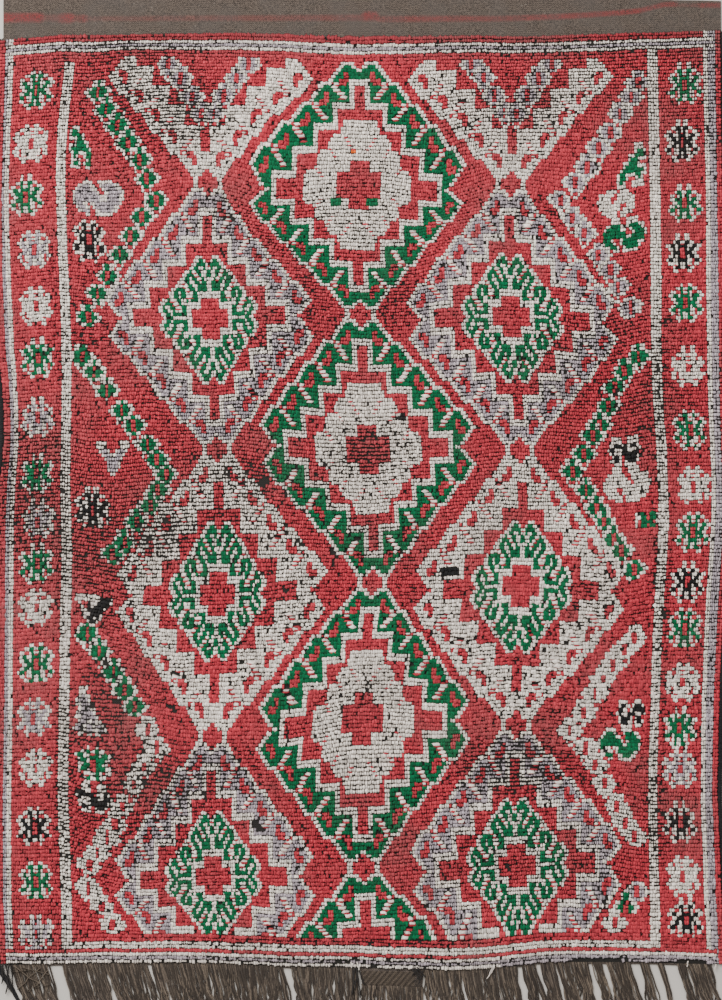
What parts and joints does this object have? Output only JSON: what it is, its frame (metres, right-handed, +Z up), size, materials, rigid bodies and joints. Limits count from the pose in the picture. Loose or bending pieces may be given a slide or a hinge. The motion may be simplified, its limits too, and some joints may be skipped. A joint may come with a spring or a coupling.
{
  "type": "hand-knotted rug",
  "caption": "Flat rectangular wool rug with a short knotted pile, a flat-woven head end, dark overcast sides and a yarn fringe at the foot.",
  "frame": {"origin": "middle of the rug's bounding box on the floor, under the cloth", "axes": "+Z up from the floor, +Y along the length towards the flat-woven head end, +X across the width"},
  "size_m": [1.71, 2.374, 0.008],
  "materials": {
    "wool_pile": "matte hand-knotted wool pile, mostly madder red",
    "ivory_wool": "matte hand-knotted wool pile, ivory",
    "green_wool": "matte hand-knotted wool pile, deep green",
    "lilac_wool": "matte hand-knotted wool pile, faded lilac grey",
    "dark_wool": "matte hand-knotted wool pile, black",
    "black_yarn": "coarse black yarn wound round the edge",
    "warp_yarn": "plied grey-brown wool yarn"
  },
  "bodies": {
    "root": {"rug_cloth": "wool_pile", "overcast_left": "black_yarn", "overcast_right": "black_yarn", "foot_fringe": "warp_yarn"}
  },
  "joints": []
}
